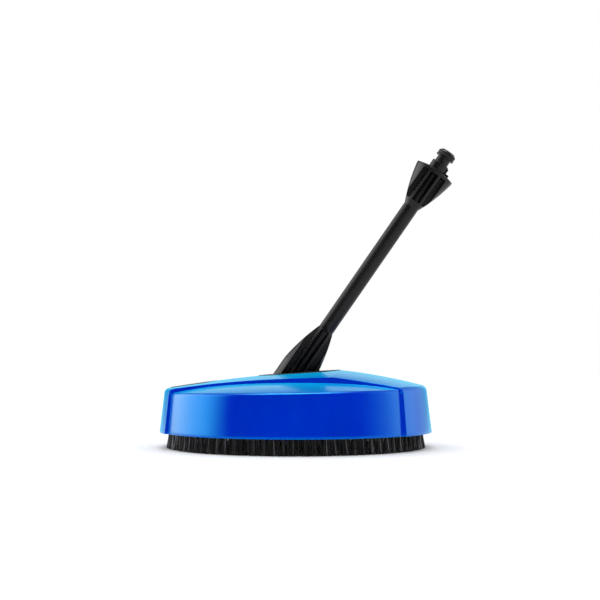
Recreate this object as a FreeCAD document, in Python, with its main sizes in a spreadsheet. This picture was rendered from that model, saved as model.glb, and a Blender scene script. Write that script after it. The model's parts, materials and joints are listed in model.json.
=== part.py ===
"""Surface cleaner: a round spray hood on a bristle ring, with a slanting lance and a spinning nozzle rotor.

Millimetres, +Z up. The origin is on the rotor's axis, at the ground that the bristles stand on.
+X is the way the lance leans, and the hood's raised band runs along X.
"""
import FreeCAD, Part
import Sketcher
import math
import os
import re
from FreeCAD import Placement, Rotation, Vector

UP = Vector(0, 0, 1)
ACROSS = Vector(0, 1, 0)
ALONG = Vector(1, 0, 0)
FREE = 0.05          # radial clearance between fitted pieces
REACH = 400.0        # longer than anything that is trimmed
BELOW_ROOF = 60.0    # height under the hood's roof, where the roof's cutters start
OVER_ROOF = 100.0    # height above the hood, where its prisms and bosses are trimmed from

SIZES = {
    # hood
    "rim_height": 15.9, "wall": 3.0, "dome_rim_radius": 136.5, "dome_edge_radius": 132.0,
    "dome_edge_height": 58.3, "dome_middle_radius": 100.0, "dome_middle_height": 64.1,
    "dome_flat_radius": 56.0, "dome_top_height": 66.9, "end_rim_radius": 140.0, "end_draft": 7.0,
    "band_rim_width": 145.0, "band_top_width": 135.0, "ridge_place": 47.0, "ridge_height": 79.1,
    "pad_radius": 47.0, "pad_bottom": 64.0, "plate_seat": 70.0,
    # plate round the lance's foot, and the inlay at the band's low end
    "plate_length": 85.0, "plate_width": 60.0, "plate_middle": 4.0, "plate_proud": 0.5,
    "inlay_start": -130.0, "inlay_end": -83.0, "inlay_width": 84.0, "inlay_corner": 8.0,
    "inlay_depth": 1.2, "inlay_proud": 0.2,
    # lance, measured along its axis from the point where it crosses the rotor's axis
    "lance_tilt": 35.0, "lance_base_height": 75.3, "tube_radius": 8.1, "foot_radius": 19.2, "foot_end": 8.0,
    "foot_middle": 33.0, "foot_middle_radius": 14.8, "tube_start": 55.5, "tube_end": 209.5,
    "flare_middle": 229.7, "flare_middle_radius": 15.9, "flare_end": 250.0, "flare_radius": 21.0,
    "end_plate_top": 252.0, "end_dome_top": 254.7, "end_dome_radius": 11.0, "pocket_low": 77.0,
    "pocket_low_end": 54.0, "pocket_high_start": 216.0, "pocket_high_end": 249.0, "core_radius": 7.0,
    "web": 3.0, "rib_inside": 4.1, "rib_outside": 7.3, "skin_inside": 13.0, "mould_turn": 10.0,
    "spigot_bore": 5.6, "spigot_start": 243.0,
    # pressure tube
    "pipe_radius": 4.5, "pipe_bore": 3.0, "pipe_bend": 25.0, "pipe_bottom": 58.6, "pipe_end": 250.0,
    # inlet nipple, along the lance's axis
    "barrel_radius": 9.2, "barrel_end": 262.6, "neck_radius": 7.1, "neck_end": 268.8, "head_radius": 9.7,
    "groove_start": 270.8, "groove_end": 273.3, "head_end": 274.2, "tip_radius": 6.8, "tip_end": 276.8,
    # bristle ring and its carrier
    "bristle_inner": 126.5, "bristle_floor_radius": 134.3, "bristle_root_radius": 130.6,
    "carrier_bottom": 17.5, "bristle_top": 21.5, "carrier_top": 25.5, "carrier_radius": 132.4,
    "carrier_top_radius": 131.5, "carrier_inner": 124.6, "flange_inner": 114.2, "flange_bottom": 22.5,
    "carrier_bolt_circle": 119.0, "boss_radius": 4.2,
    # rotary coupling
    "housing_bottom": 36.2, "housing_radius": 18.0, "coupling_flange_radius": 42.0,
    "coupling_flange_bottom": 60.0, "coupling_bolt_circle": 36.0, "snap_bottom": 37.4, "snap_top": 38.6,
    "snap_radius": 12.8, "lower_bearing_bottom": 38.8, "bearing_width": 6.0, "spacer_width": 2.0,
    "bearing_radius": 12.0, "bearing_bore": 6.0, "seal_radius": 10.0, "seal_top": 56.8,
    "chamber_radius": 6.4, "port_bottom": 58.5, "port_top": 61.0, "ring_seat_radius": 7.2,
    "ball_radius": 1.75, "ball_circle": 9.0, "race_inside": 7.8, "race_outside": 10.2,
    # spindle and rotor
    "spindle_top": 57.3, "shoulder_radius": 7.6, "shoulder_bottom": 35.6, "hub_bottom": 24.0,
    "thread_radius": 4.0, "thread_bottom": 17.6, "washer_bottom": 22.6, "washer_radius": 9.0,
    "nut_bottom": 18.0, "nut_width": 13.0, "waterway": 2.2, "waterway_bottom": 27.0, "hub_length": 44.0,
    "hub_width": 24.0, "arm_height": 30.0, "arm_radius": 5.0, "arm_bore": 3.2, "arm_start": 9.5,
    "arm_end": 95.0, "nozzle_circle": 100.0, "nozzle_tilt": 25.0, "holder_radius": 8.0, "holder_half": 8.0,
    "nozzle_radius": 4.5, "nozzle_cap_radius": 5.6, "nozzle_length": 12.5, "orifice": 0.6,
    # screws and rings
    "screw_radius": 1.9, "screw_head_radius": 3.8, "screw_head": 2.4, "lance_screw_reach": 13.0,
    "lance_screw_spread": 9.5, "back_screw_place": -33.0, "front_screw_place": 38.0, "cord_radius": 1.2,
    "small_cord_radius": 0.88,
}

doc = FreeCAD.newDocument("surface_cleaner")
sheet = doc.addObject("Spreadsheet::Sheet", "Sizes")
for row, (alias, amount) in enumerate(SIZES.items(), start=1):
    sheet.set(f"A{row}", alias)
    sheet.set(f"B{row}", str(amount))
    sheet.setAlias(f"B{row}", alias)
doc.recompute()

nodes = []           # the document objects that are written out, one for each piece


def size(alias):
    """A driving dimension, read from the sheet."""
    return float(getattr(sheet, alias))


def bound(expression):
    """An expression in bare aliases, written the way the document's expressions name the sheet."""
    return re.sub(r"\b[a-z][a-z_]+\b(?!\()", r"Sizes.\g<0>", expression)


def number(expression):
    """The present value of an expression in bare aliases."""
    return float(sheet.evalExpression(bound(expression)))


def keep(piece):
    """Registers a finished piece, whose label becomes its node name."""
    nodes.append(piece)
    return piece


def solid(name, shape, placement=None):
    """A piece whose shape comes from Part's own functions."""
    piece = doc.addObject("Part::Feature", name)
    piece.Shape = shape
    if placement is not None:
        piece.Placement = placement
    piece.Label = name
    return keep(piece)


def plane(body, role):
    """One of a body's own origin planes."""
    return next(item for item in body.Origin.OriginFeatures if item.Role == role)


def outline(body, name, role, corners):
    """A closed straight-sided sketch whose corners are pairs of expressions, each bound to the sheet."""
    sketch = body.newObject("Sketcher::SketchObject", name)
    sketch.AttachmentSupport = (plane(body, role), [""])
    sketch.MapMode = "FlatFace"
    points = [Vector(number(across), number(upward), 0) for across, upward in corners]
    for start, end in zip(points, points[1:] + points[:1]):
        sketch.addGeometry(Part.LineSegment(start, end))
    for index, corner in enumerate(corners):
        before = (index - 1) % len(corners)
        sketch.addConstraint(Sketcher.Constraint("Coincident", before, 2, index, 1))
        for kind, expression, axis in (("DistanceX", corner[0], -2), ("DistanceY", corner[1], -1)):
            if expression == "0":
                sketch.addConstraint(Sketcher.Constraint("PointOnObject", index, 1, axis))
                continue
            place = sketch.addConstraint(Sketcher.Constraint(kind, -1, 1, index, 1, number(expression)))
            sketch.setExpression(f"Constraints[{place}]", bound(expression))
    return sketch


def turned(name, corners, sweep=360.0, placement=None):
    """A body turned about its own Z from corners of (radius, height)."""
    body = doc.addObject("PartDesign::Body", name)
    body.Label = name
    profile = outline(body, name + "_profile", "XZ_Plane", corners)
    turn = body.newObject("PartDesign::Revolution", name + "_turn")
    turn.Profile = profile
    turn.ReferenceAxis = (profile, ["V_Axis"])
    turn.Angle = sweep
    if placement is not None:
        body.Placement = placement
    return body


def drill_circle(body, name, circle, radius, count, first_angle):
    """Cuts a circle of equal holes right through a body, parallel to its Z."""
    sketch = body.newObject("Sketcher::SketchObject", name)
    sketch.AttachmentSupport = (plane(body, "XY_Plane"), [""])
    sketch.MapMode = "FlatFace"
    places = (f"{circle} * cos({first_angle})", f"{circle} * sin({first_angle})")
    centre = Vector(number(places[0]), number(places[1]), 0)
    sketch.addGeometry(Part.Circle(centre, UP, number(radius)))
    for kind, expression in (("DistanceX", places[0]), ("DistanceY", places[1])):
        place = sketch.addConstraint(Sketcher.Constraint(kind, -1, 1, 0, 3, number(expression)))
        sketch.setExpression(f"Constraints[{place}]", bound(expression))
    place = sketch.addConstraint(Sketcher.Constraint("Radius", 0, number(radius)))
    sketch.setExpression(f"Constraints[{place}]", bound(radius))
    pocket = body.newObject("PartDesign::Pocket", name + "_pocket")
    pocket.Profile = sketch
    pocket.Type = "ThroughAll"
    pocket.Midplane = True
    pattern = body.newObject("PartDesign::PolarPattern", name + "_pattern")
    pattern.Originals = [pocket]
    pattern.Axis = (sketch, ["N_Axis"])
    pattern.Angle = 360
    pattern.Occurrences = count
    body.Tip = pattern


def cut_piece(name, base, tool):
    """One document object cut by another."""
    cut = doc.addObject("Part::Cut", name)
    cut.Base = base
    cut.Tool = tool
    cut.Label = name
    return cut


def upright_rod(name, radius, bottom, top):
    """A parametric cylinder on the rotor's axis."""
    rod = doc.addObject("Part::Cylinder", name)
    rod.setExpression("Radius", bound(radius))
    rod.setExpression("Height", bound(f"({top}) - ({bottom})"))
    rod.setExpression("Placement.Base.z", bound(bottom))
    return rod


def rod_along(name, radius, start, end):
    """A parametric cylinder along X at the arms' height."""
    rod = doc.addObject("Part::Cylinder", name)
    rod.Placement = Placement(Vector(), Rotation(ACROSS, 90))
    rod.setExpression("Radius", bound(radius))
    rod.setExpression("Height", bound(f"({end}) - ({start})"))
    rod.setExpression("Placement.Base.x", bound(start))
    rod.setExpression("Placement.Base.z", bound("arm_height"))
    return rod


def torus(name, ring_radius, cord, height):
    """A parametric torus about the rotor's axis."""
    ring = doc.addObject("Part::Torus", name)
    ring.setExpression("Radius1", bound(ring_radius))
    ring.setExpression("Radius2", bound(cord))
    ring.setExpression("Placement.Base.z", bound(height))
    ring.Label = name
    return ring


def cylinder(radius, bottom, top, x=0.0, y=0.0):
    """A plain upright cylinder."""
    return Part.makeCylinder(radius, top - bottom, Vector(x, y, bottom))


def box(low, high):
    """A plain box between two corners."""
    return Part.makeBox(*(b - a for a, b in zip(low, high)), Vector(*low))


def ring_places(circle, count, first_angle):
    """Points spaced evenly round a circle about the rotor's axis."""
    angles = [math.radians(first_angle + 360.0 * index / count) for index in range(count)]
    return [(circle * math.cos(angle), circle * math.sin(angle)) for angle in angles]


# The lance's frame: its Z is the slanting axis, and its X is square to that axis, pointing forward and down.
lance_frame = Placement(Vector(0, 0, size("lance_base_height")), Rotation(ACROSS, size("lance_tilt")))


# ---------------------------------------------------------------- hood

def foot_height(inset):
    """The height where the hood's form starts: the rim, or below it for the hollow inside."""
    return size("rim_height") - (5.0 if inset > 0 else 0.0)


def band_section(place, middle, drop, inset):
    """A section of the raised band: slightly leaning sides and a crowned top, lower by drop at its edges."""
    low = size("band_rim_width") / 2 - inset
    high = size("band_top_width") / 2 - inset
    corner = Vector(place, high, middle - drop - inset)
    other = Vector(place, -high, middle - drop - inset)
    feet = [Vector(place, -low, foot_height(inset)), Vector(place, low, foot_height(inset))]
    edges = [Part.LineSegment(feet[0], feet[1]).toShape(), Part.LineSegment(feet[1], corner).toShape()]
    edges.append(Part.Arc(corner, Vector(place, 0, middle - inset), other).toShape())
    edges.append(Part.LineSegment(other, feet[0]).toShape())
    return Part.Wire(edges)


def band(inset):
    """The raised band: a gently arched run up to a crisp ridge, then a straight fall, both crowned."""
    arched = [(-146.0, 58.6, 3.0), (-79.0, 68.6, 3.4), (-35.0, 73.6, 4.4), (5.0, 76.1, 5.7)]
    ridge = (size("ridge_place"), size("ridge_height"), 6.7)
    falling = [(100.0, 70.9, 5.9), (146.0, 59.5, 4.3)]
    rise = Part.makeLoft([band_section(*station, inset) for station in arched + [ridge]], True, False)
    drop = Part.makeLoft([band_section(*station, inset) for station in [ridge] + falling], True, True)
    return rise.fuse(drop)


def dome(inset):
    """The round hood: a drafted wall and a shallow domed roof."""
    rim = Vector(size("dome_rim_radius") - inset, 0, foot_height(inset))
    edge = Vector(size("dome_edge_radius") - inset, 0, size("dome_edge_height") - inset)
    middle = Vector(size("dome_middle_radius"), 0, size("dome_middle_height") - inset)
    flat = Vector(size("dome_flat_radius"), 0, size("dome_top_height") - inset)
    foot = Vector(0, 0, foot_height(inset))
    crown = Vector(0, 0, size("dome_top_height") - inset)
    edges = [Part.LineSegment(foot, rim).toShape(), Part.LineSegment(rim, edge).toShape()]
    edges.append(Part.Arc(edge, middle, flat).toShape())
    edges += [Part.LineSegment(flat, crown).toShape(), Part.LineSegment(crown, foot).toShape()]
    return Part.Face(Part.Wire(edges)).revolve(Vector(0, 0, 0), UP, 360)


def end_walls(inset):
    """The drafted round walls that end the band."""
    radius = size("end_rim_radius") - inset
    narrow = radius - OVER_ROOF * math.tan(math.radians(size("end_draft")))
    return Part.makeCone(radius, narrow, OVER_ROOF, Vector(0, 0, foot_height(inset)))


def hood_form(inset):
    """The hood's full form, moved inwards by inset."""
    return dome(inset).fuse(band(inset).common(end_walls(inset)))


def plate_outline(clearance):
    """The plate's plan: a stadium along X, as a tall prism."""
    radius = size("plate_width") / 2 + clearance
    straight = size("plate_length") / 2 - size("plate_width") / 2
    middle = size("plate_middle")
    bottom = size("plate_seat")
    block = box((middle - straight, -radius, bottom), (middle + straight, radius, OVER_ROOF))
    ends = [cylinder(radius, bottom, OVER_ROOF, middle + side * straight) for side in (-1, 1)]
    return block.multiFuse(ends).removeSplitter()


def inlay_outline(clearance):
    """The inlay's plan: a rectangle with rounded corners, as a tall prism."""
    half = size("inlay_width") / 2 + clearance
    low = (size("inlay_start") - clearance, -half, size("carrier_top"))
    prism = box(low, (size("inlay_end") + clearance, half, OVER_ROOF))
    upright = [edge for edge in prism.Edges if edge.BoundBox.ZLength > 1.0]
    return prism.makeFillet(size("inlay_corner"), upright)


def lance_hole(radius, bottom, top):
    """A slanting cylinder on the lance's axis, between two heights."""
    rod = Part.makeCylinder(radius, 2 * REACH, Vector(0, 0, -REACH))
    rod.Placement = lance_frame
    return rod.common(box((-REACH, -REACH, bottom), (REACH, REACH, top)))


foot_drift = (size("lance_base_height") - size("plate_seat")) * math.tan(math.radians(size("lance_tilt")))
lance_screw_places = [
    (side * size("lance_screw_reach") - foot_drift, face * size("lance_screw_spread"))
    for side in (-1, 1) for face in (-1, 1)]
plate_screw_places = [(size("back_screw_place"), 0.0), (size("front_screw_place"), 0.0)]
coupling_screw_places = ring_places(size("coupling_bolt_circle"), 4, 45.0)
carrier_screw_places = ring_places(size("carrier_bolt_circle"), 6, 30.0)
pilot = size("screw_radius") + FREE
sunk = size("pad_bottom") + size("screw_head") + 0.2

outer = hood_form(0.0)
pads = [cylinder(size("pad_radius"), size("pad_bottom"), OVER_ROOF)]
for x, y in carrier_screw_places:
    pads.append(cylinder(size("boss_radius"), size("carrier_top"), OVER_ROOF, x, y))
hood = outer.cut(hood_form(size("wall"))).multiFuse([pad.common(outer) for pad in pads])
cutters = [plate_outline(0.1), inlay_outline(0.1).cut(band(size("inlay_depth")))]
cutters.append(cylinder(size("pipe_radius") + 0.7, BELOW_ROOF, size("lance_base_height")))
cutters += [cylinder(pilot, size("flange_bottom"), 36.0, x, y) for x, y in carrier_screw_places]
cutters += [cylinder(pilot, BELOW_ROOF, 69.2, x, y) for x, y in coupling_screw_places]
for x, y in lance_screw_places + plate_screw_places:
    cutters.append(cylinder(pilot, BELOW_ROOF, size("lance_base_height"), x, y))
    cutters.append(cylinder(size("screw_head_radius") + 0.2, BELOW_ROOF, sunk, x, y))
for cutter in cutters:
    hood = hood.cut(cutter)
solid("hood_shell", hood.removeSplitter())

foot_hole = lance_hole(size("foot_radius") + 0.2, 0.0, REACH)
plate = plate_outline(0.0).common(band(-size("plate_proud"))).cut(foot_hole)
for x, y in plate_screw_places:
    plate = plate.cut(cylinder(pilot, BELOW_ROOF, 72.4, x, y))
solid("base_plate", plate)

inlay = inlay_outline(0.0).common(band(-size("inlay_proud"))).cut(band(size("inlay_depth")))
solid("front_inlay", inlay.common(end_walls(0.5)))


# ---------------------------------------------------------------- lance and pressure tube

def bent_rod(radius, bottom, end):
    """A round rod up the rotor's axis, round the bend and along the lance's axis to a distance end."""
    tilt = math.radians(size("lance_tilt"))
    bend = size("pipe_bend")
    tangent = bend * math.tan(tilt / 2)
    corner = Vector(0, 0, size("lance_base_height"))
    ahead = Vector(math.sin(tilt), 0, math.cos(tilt))
    start = corner - UP * tangent
    finish = corner + ahead * tangent
    middle = start + ALONG * bend + Vector(-math.cos(tilt / 2), 0, math.sin(tilt / 2)) * bend
    foot = Vector(0, 0, bottom)
    edges = [Part.LineSegment(foot, start).toShape(), Part.Arc(start, middle, finish).toShape()]
    edges.append(Part.LineSegment(finish, corner + ahead * end).toShape())
    section = Part.Wire([Part.Circle(foot, UP, radius).toShape()])
    return Part.Wire(edges).makePipeShell([section], True, False)


def lance_profile():
    """The lance's outer form, turned about its own Z: a foot, a plain tube, a flare and a domed end."""
    corner = {
        "foot_start": Vector(0, 0, -20.0),
        "foot_low": Vector(size("foot_radius"), 0, -20.0),
        "foot_end": Vector(size("foot_radius"), 0, size("foot_end")),
        "tube_start": Vector(size("tube_radius"), 0, size("tube_start")),
        "tube_end": Vector(size("tube_radius"), 0, size("tube_end")),
        "flare_end": Vector(size("flare_radius"), 0, size("flare_end")),
        "plate_edge": Vector(size("flare_radius"), 0, size("end_plate_top")),
        "dome_edge": Vector(size("end_dome_radius"), 0, size("end_dome_top")),
        "dome_middle": Vector(0, 0, size("end_dome_top")),
    }
    foot_middle = Vector(size("foot_middle_radius"), 0, size("foot_middle"))
    flare_middle = Vector(size("flare_middle_radius"), 0, size("flare_middle"))

    def run(start, end):
        return Part.LineSegment(corner[start], corner[end]).toShape()

    edges = [run("foot_start", "foot_low"), run("foot_low", "foot_end")]
    edges.append(Part.Arc(corner["foot_end"], foot_middle, corner["tube_start"]).toShape())
    edges.append(run("tube_start", "tube_end"))
    edges.append(Part.Arc(corner["tube_end"], flare_middle, corner["flare_end"]).toShape())
    edges += [run("flare_end", "plate_edge"), run("plate_edge", "dome_edge"), run("dome_edge", "dome_middle")]
    edges.append(run("dome_middle", "foot_start"))
    return Part.Face(Part.Wire(edges)).revolve(Vector(0, 0, 0), UP, 360)


def pockets(start, end):
    """Moulded pockets on both faces: one between the two ribs and one outside each, down to the web."""
    core = cylinder(size("core_radius"), start - 1, end + 1)
    inside = size("rib_inside")
    cuts = [box((-inside, -40, start), (inside, 40, end)).cut(core)]
    for face in (-1, 1):
        low, high = sorted((face * size("web") / 2, face * 40.0))
        for side in (-1, 1):
            near, far = sorted((side * size("rib_outside"), side * size("skin_inside")))
            cuts.append(box((near, low, start), (far, high, end)))
    return Part.makeCompound(cuts)


mould_frame = lance_frame.multiply(Placement(Vector(), Rotation(UP, size("mould_turn"))))
lance = lance_profile()
lance.Placement = mould_frame
above_hood = box((-REACH, -REACH, size("pocket_low")), (REACH, REACH, REACH))
low_pockets = pockets(-30.0, size("pocket_low_end"))
low_pockets.Placement = mould_frame
high_pockets = pockets(size("pocket_high_start"), size("pocket_high_end"))
high_pockets.Placement = mould_frame
for cutter in low_pockets.Solids:
    lance = lance.cut(cutter.common(above_hood))
for cutter in high_pockets.Solids:
    lance = lance.cut(cutter)
stop = box((9.6, -3.0, size("end_plate_top") - 0.5), (14.0, 3.0, size("end_dome_top") + 1.6))
stop.Placement = lance_frame
spigot_hole = cylinder(size("spigot_bore"), size("spigot_start"), size("spigot_start") + 40.0)
spigot_hole.Placement = lance_frame
lance = lance.fuse(stop)
lance = lance.common(box((-REACH, -REACH, size("plate_seat")), (REACH, REACH, REACH)))
lance = lance.cut(bent_rod(size("pipe_radius") + 0.1, 40.0, REACH)).cut(spigot_hole)
for x, y in lance_screw_places:
    lance = lance.cut(cylinder(pilot, BELOW_ROOF, 76.2, x, y))
solid("lance", lance.removeSplitter())

pipe = bent_rod(size("pipe_radius"), size("pipe_bottom"), size("pipe_end"))
solid("pressure_tube", pipe.cut(bent_rod(size("pipe_bore"), size("pipe_bottom") - 10.0, REACH)))

keep(turned("inlet_nipple", [
    ("pipe_radius + 0.05", "spigot_start + 0.2"), ("spigot_bore - 0.05", "spigot_start + 0.2"),
    ("spigot_bore - 0.05", "end_dome_top"), ("barrel_radius", "end_dome_top"),
    ("barrel_radius", "barrel_end"), ("neck_radius", "barrel_end"), ("neck_radius", "neck_end"),
    ("head_radius", "neck_end"), ("head_radius", "groove_start"), ("neck_radius", "groove_start"),
    ("neck_radius", "groove_end"), ("head_radius", "groove_end"), ("head_radius", "head_end"),
    ("tip_radius", "tip_end"),
    ("pipe_bore", "tip_end"), ("pipe_bore", "pipe_end"), ("pipe_radius + 0.05", "pipe_end"),
], placement=lance_frame))


# ---------------------------------------------------------------- bristle ring and carrier

keep(turned("bristle_ring", [
    ("bristle_inner", "0"), ("bristle_floor_radius", "0"), ("bristle_root_radius", "carrier_bottom"),
    ("bristle_root_radius", "bristle_top"), ("bristle_inner", "bristle_top"),
]))

carrier = keep(turned("brush_carrier", [
    ("carrier_inner", "carrier_bottom"), ("bristle_inner - 0.1", "carrier_bottom"),
    ("bristle_inner - 0.1", "bristle_top"), ("bristle_root_radius + 0.1", "bristle_top"),
    ("bristle_root_radius + 0.1", "carrier_bottom"), ("carrier_radius", "carrier_bottom"),
    ("carrier_top_radius", "carrier_top"), ("flange_inner", "carrier_top"), ("flange_inner", "flange_bottom"),
    ("carrier_inner", "flange_bottom"),
]))
drill_circle(carrier, "carrier_holes", "carrier_bolt_circle", "screw_radius + 0.3", 6, 30)


# ---------------------------------------------------------------- rotary coupling

seal_bottom = "lower_bearing_bottom + 2 * bearing_width + spacer_width"
housing = keep(turned("coupling_housing", [
    ("bearing_radius", "housing_bottom"), ("housing_radius", "housing_bottom"),
    ("housing_radius", "coupling_flange_bottom"), ("coupling_flange_radius", "coupling_flange_bottom"),
    ("coupling_flange_radius", "pad_bottom"), ("ring_seat_radius", "pad_bottom"),
    ("ring_seat_radius", "port_top"), ("pipe_radius + 0.1", "port_top"), ("pipe_radius + 0.1", "port_bottom"),
    ("chamber_radius", "port_bottom"), ("chamber_radius", "seal_top"), ("seal_radius", "seal_top"),
    ("seal_radius", seal_bottom), ("bearing_radius", seal_bottom), ("bearing_radius", "snap_top + 0.1"),
    ("snap_radius", "snap_top + 0.1"), ("snap_radius", "snap_bottom - 0.1"),
    ("bearing_radius", "snap_bottom - 0.1"),
]))
drill_circle(housing, "coupling_holes", "coupling_bolt_circle", "screw_radius + 0.3", 4, 45)

keep(turned("snap_ring", [
    ("race_outside + 0.3", "snap_bottom"), ("snap_radius - 0.1", "snap_bottom"),
    ("snap_radius - 0.1", "snap_top"), ("race_outside + 0.3", "snap_top"),
], sweep=325.0))

keep(turned("spindle_seal", [
    ("bearing_bore + 0.05", "seal_top - 3.8"), ("seal_radius - 0.05", "seal_top - 3.8"),
    ("seal_radius - 0.05", "seal_top - 0.1"), ("bearing_bore + 0.05", "seal_top - 0.1"),
]))


def race(radius_low, radius_high, bottom):
    """One ring of a ball bearing, with its half-round track."""
    width = size("bearing_width")
    bore = cylinder(radius_low, bottom - 1, bottom + width + 1)
    blank = cylinder(radius_high, bottom, bottom + width).cut(bore)
    middle = Vector(0, 0, bottom + width / 2)
    return blank.cut(Part.makeTorus(size("ball_circle"), size("ball_radius") + 0.1, middle, UP))


def bearing(name, bottom):
    """A deep-groove ball bearing as four pieces: outer ring, inner ring, balls and cage."""
    balls_at = ring_places(size("ball_circle"), 8, 0.0)
    middle = bottom + size("bearing_width") / 2
    solid(name + "_outer_ring", race(size("race_outside"), size("bearing_radius") - FREE, bottom))
    solid(name + "_inner_ring", race(size("bearing_bore") + FREE, size("race_inside"), bottom))
    balls = [Part.makeSphere(size("ball_radius"), Vector(x, y, middle)) for x, y in balls_at]
    solid(name + "_balls", Part.makeCompound(balls))
    cage = cylinder(size("ball_circle") + 0.7, middle - 2.4, middle + 2.4)
    cage = cage.cut(cylinder(size("ball_circle") - 0.7, middle - 3.0, middle + 3.0))
    for x, y in balls_at:
        pocket = Part.makeCylinder(size("ball_radius") + 0.1, 20.0, Vector(0, 0, middle), Vector(x, y, 0))
        cage = cage.cut(pocket)
    solid(name + "_cage", cage)


bearing("lower_bearing", size("lower_bearing_bottom"))
bearing("upper_bearing", size("lower_bearing_bottom") + size("bearing_width") + size("spacer_width"))

spacer_top = "lower_bearing_bottom + bearing_width + spacer_width"
keep(turned("bearing_spacer", [
    ("bearing_bore + 0.05", "lower_bearing_bottom + bearing_width"),
    ("race_inside - 0.2", "lower_bearing_bottom + bearing_width"),
    ("race_inside - 0.2", spacer_top), ("bearing_bore + 0.05", spacer_top),
]))


# ---------------------------------------------------------------- rotor

spindle_blank = turned("spindle_blank", [
    ("0", "thread_bottom"), ("thread_radius", "thread_bottom"), ("thread_radius", "hub_bottom"),
    ("bearing_bore", "hub_bottom"), ("bearing_bore", "shoulder_bottom"),
    ("shoulder_radius", "shoulder_bottom"), ("shoulder_radius", "lower_bearing_bottom"),
    ("bearing_bore", "lower_bearing_bottom"), ("bearing_bore", "spindle_top"), ("waterway", "spindle_top"),
    ("waterway", "waterway_bottom"), ("0", "waterway_bottom"),
])
keep(cut_piece("spindle", spindle_blank, rod_along("spindle_cross_hole", "waterway - 0.2", "-10", "10")))

hub = doc.addObject("Part::Box", "hub_block")
for setting, expression in {
        "Length": "hub_length", "Width": "hub_width", "Height": "shoulder_bottom - hub_bottom",
        "Placement.Base.x": "-hub_length / 2", "Placement.Base.y": "-hub_width / 2",
        "Placement.Base.z": "hub_bottom"}.items():
    hub.setExpression(setting, bound(expression))
hub_cuts = [
    upright_rod("hub_bore", "bearing_bore + 0.05", "hub_bottom - 1", "shoulder_bottom + 1"),
    rod_along("hub_waterway", "arm_bore", "-hub_length / 2", "hub_length / 2"),
    rod_along("hub_left_socket", "arm_radius + 0.05", "-hub_length / 2 - 1", "-arm_start"),
    rod_along("hub_right_socket", "arm_radius + 0.05", "arm_start", "hub_length / 2 + 1"),
]
for level, height in (("lower", "hub_bottom + 1.4"), ("upper", "shoulder_bottom - 1.2")):
    ring_radius = "bearing_bore + small_cord_radius + 0.1"
    hub_cuts.append(torus(f"hub_{level}_groove", ring_radius, "small_cord_radius + 0.1", height))
    keep(torus(f"hub_{level}_o_ring", ring_radius, "small_cord_radius", height))
for cutter in hub_cuts:
    hub = cut_piece(cutter.Name + "_cut", hub, cutter)
hub.Label = "rotor_hub"
keep(hub)

keep(turned("hub_washer", [
    ("thread_radius + 0.1", "washer_bottom"), ("washer_radius", "washer_bottom"),
    ("washer_radius", "hub_bottom"), ("thread_radius + 0.1", "hub_bottom"),
]))
nut_block = doc.addObject("Part::Prism", "nut_block")
nut_block.Polygon = 6
nut_block.setExpression("Circumradius", bound("nut_width / 1.732"))
nut_block.setExpression("Height", bound("washer_bottom - nut_bottom"))
nut_block.setExpression("Placement.Base.z", bound("nut_bottom"))
nut_bore = upright_rod("nut_bore", "thread_radius + 0.05", "nut_bottom - 1", "washer_bottom + 1")
keep(cut_piece("hub_nut", nut_block, nut_bore))


def nozzle_arm(side, turn):
    """One arm of the rotor with its holder and nozzle, built on the +X side and then turned about Z."""
    half_turn = Placement(Vector(), Rotation(UP, turn))
    height = size("arm_height")
    place = Vector(size("nozzle_circle"), 0, height)
    tilted = half_turn.multiply(Placement(place, Rotation(ALONG, size("nozzle_tilt"))))

    def rod(radius, start, end):
        return Part.makeCylinder(radius, end - start, Vector(start, 0, height), ALONG)

    tube = rod(size("arm_radius"), size("arm_start"), size("arm_end"))
    solid(f"{side}_arm", tube.cut(rod(size("arm_bore"), 0, REACH)), half_turn)

    half = size("holder_half")
    reach = size("arm_end") - size("nozzle_circle")
    holder = cylinder(size("holder_radius"), -half, half)
    socket = Part.makeCylinder(size("arm_radius") + FREE, 30.0, Vector(reach - 30.0, 0, 0), ALONG)
    way = Part.makeCylinder(size("waterway"), 1.0 - reach, Vector(reach - 0.5, 0, 0), ALONG)
    seat = cylinder(size("nozzle_radius") + FREE, -half - 1, -1.2)
    drop = cylinder(size("waterway"), -3.0, 1.0)
    for cutter in (socket, way, seat, drop):
        holder = holder.cut(cutter)
    solid(f"{side}_nozzle_holder", holder, tilted)

    keep(turned(f"{side}_nozzle", [
        ("orifice", "-nozzle_length"), ("waterway", "-nozzle_length"),
        ("nozzle_cap_radius", "-nozzle_length + 2"), ("nozzle_cap_radius", "-holder_half"),
        ("nozzle_radius", "-holder_half"), ("nozzle_radius", "-1.4"), ("waterway", "-1.4"),
        ("orifice", "-nozzle_length + 4"),
    ], placement=tilted))


nozzle_arm("right", 0.0)
nozzle_arm("left", 180.0)


# ---------------------------------------------------------------- rings and screws

def cord_ring(name, radius, height, placement=None):
    """An O-ring that grips a round piece of the given radius."""
    cord = size("cord_radius")
    solid(name, Part.makeTorus(radius + cord + FREE, cord, Vector(0, 0, height), UP), placement)


cord_ring("tube_o_ring", size("pipe_radius"), size("port_top") + size("cord_radius") + 0.1)
groove_middle = (size("groove_start") + size("groove_end")) / 2
cord_ring("nipple_o_ring", size("neck_radius"), groove_middle, lance_frame)


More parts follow.
